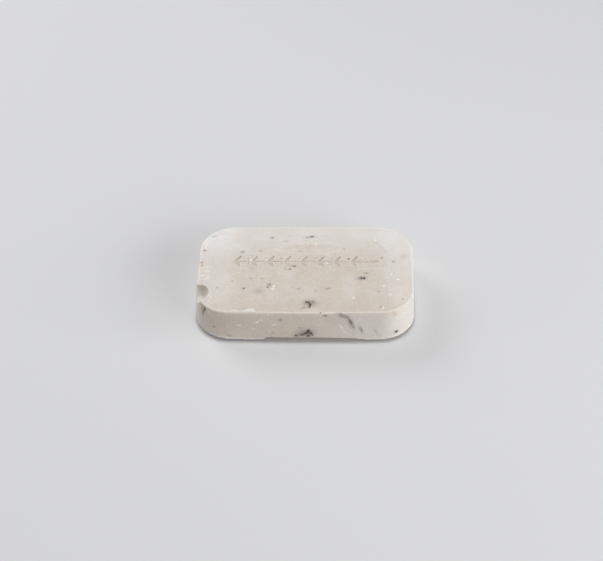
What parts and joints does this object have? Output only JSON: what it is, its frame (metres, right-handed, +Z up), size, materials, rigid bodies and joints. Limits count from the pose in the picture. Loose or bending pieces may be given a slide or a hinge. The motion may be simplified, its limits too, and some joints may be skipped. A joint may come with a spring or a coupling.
{
  "type": "bar of soap",
  "caption": "Pressed bar of pale soap with rounded corners, a sunk leaf ornament, an oval dish and dried flower pieces set in it; one corner is broken.",
  "frame": {"origin": "middle of the underside, on the surface the bar lies on", "axes": "+X along the length, to the right seen from the front wall; +Y towards the back; +Z up, out of the face"},
  "size_m": [0.0978, 0.0584, 0.018],
  "materials": {
    "soap": "waxy, slightly translucent, satin",
    "dried_floret": "dry and papery, matt",
    "dried_bud": "dry and ribbed, matt",
    "dried_leaf": "dry and thin, matt",
    "seed": "smooth, matt"
  },
  "bodies": {
    "root": {"soap_bar": "soap", "flower_heads": "dried_floret", "flower_buds": "dried_bud", "leaf_shreds": "dried_leaf", "seeds": "seed"}
  },
  "joints": []
}
